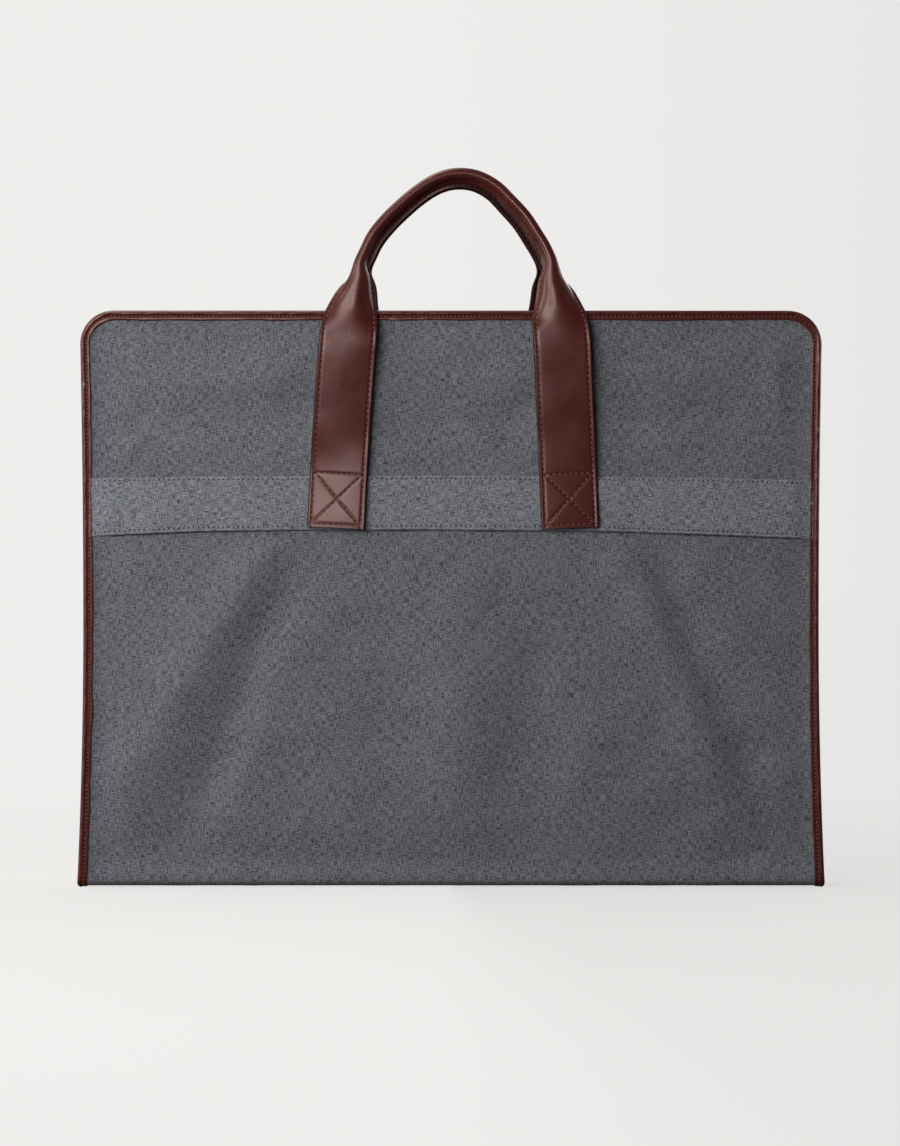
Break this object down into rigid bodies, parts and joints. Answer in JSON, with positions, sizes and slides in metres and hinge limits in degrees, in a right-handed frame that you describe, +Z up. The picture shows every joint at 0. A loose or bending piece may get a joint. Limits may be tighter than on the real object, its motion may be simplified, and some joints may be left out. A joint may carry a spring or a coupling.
{
  "type": "folding garment carrier",
  "caption": "Grey canvas garment carrier folded in half like a book, with leather edge binding and two arched leather handles, one on each half.",
  "frame": {"origin": "middle of the base, on the surface that the folded bag stands on", "axes": "+X to the right along the fold, +Y from the front half to the rear half, +Z up"},
  "size_m": [0.604, 0.0728, 0.5813],
  "materials": {
    "canvas": "matt grey melange canvas",
    "binding_leather": "smooth dark red-brown leather, satin",
    "handle_leather": "smooth dark red-brown leather, satin",
    "lining": "plain weave cotton",
    "foam": "closed cell foam sheet",
    "zip_tape": "woven polyester tape",
    "zip_metal": "aged brass",
    "rope": "twisted cotton rope",
    "webbing": "woven webbing"
  },
  "bodies": {
    "rear_half": {"rear_upper_panel": "canvas", "rear_lower_panel": "canvas", "rear_handle_band": "canvas", "rear_gusset_left": "canvas", "rear_gusset_right": "canvas", "rear_gusset_top": "canvas", "rear_outer_binding": "binding_leather", "rear_inner_binding": "binding_leather", "rear_inner_panel_left": "canvas", "rear_inner_panel_right": "canvas", "rear_zip_tape_left": "zip_tape", "rear_zip_tape_right": "zip_tape", "rear_zip_chain": "zip_metal", "rear_foam": "foam", "rear_lining": "lining", "rear_handle_anchor_left": "handle_leather", "rear_handle_anchor_right": "handle_leather", "zip_top_stop": "zip_metal", "hanger_strap": "webbing"},
    "spine": {"spine_panel": "canvas", "spine_lining": "lining", "spine_binding_left": "binding_leather", "spine_binding_right": "binding_leather"},
    "front_half": {"front_upper_panel": "canvas", "front_lower_panel": "canvas", "front_handle_band": "canvas", "front_gusset_left": "canvas", "front_gusset_right": "canvas", "front_gusset_top": "canvas", "front_outer_binding": "binding_leather", "front_inner_binding": "binding_leather", "front_inner_panel_left": "canvas", "front_inner_panel_right": "canvas", "front_zip_tape_left": "zip_tape", "front_zip_tape_right": "zip_tape", "front_zip_chain": "zip_metal", "front_foam": "foam", "front_lining": "lining", "front_handle_anchor_left": "handle_leather", "front_handle_anchor_right": "handle_leather", "zip_bottom_stop": "zip_metal"},
    "front_handle": {"front_handle_strap_left": "handle_leather", "front_handle_strap_right": "handle_leather", "front_handle_grip": "handle_leather", "front_handle_core": "rope"},
    "rear_handle": {"rear_handle_strap_left": "handle_leather", "rear_handle_strap_right": "handle_leather", "rear_handle_grip": "handle_leather", "rear_handle_core": "rope"},
    "zip_slider": {"zip_slider": "zip_metal", "zip_pull": "zip_metal"}
  },
  "joints": [
    {"name": "spine_fold", "type": "hinge", "parent": "rear_half", "child": "spine", "pos_m": [0, 0.026, 0.0024], "axis": [1, 0, 0], "range_deg": [0, 90]},
    {"name": "front_fold", "type": "hinge", "parent": "spine", "child": "front_half", "pos_m": [0, -0.026, 0.0024], "axis": [1, 0, 0], "range_deg": [0, 90]},
    {"name": "front_handle_swing", "type": "hinge", "parent": "front_half", "child": "front_handle", "pos_m": [0, -0.0342, 0.331], "axis": [1, 0, 0], "range_deg": [0, 172]},
    {"name": "rear_handle_swing", "type": "hinge", "parent": "rear_half", "child": "rear_handle", "pos_m": [0, 0.0342, 0.331], "axis": [-1, 0, 0], "range_deg": [0, 172]},
    {"name": "zip_travel", "type": "slide", "parent": "rear_half", "child": "zip_slider", "axis": [0, 0, -1], "range_m": [0, 0.37]}
  ]
}
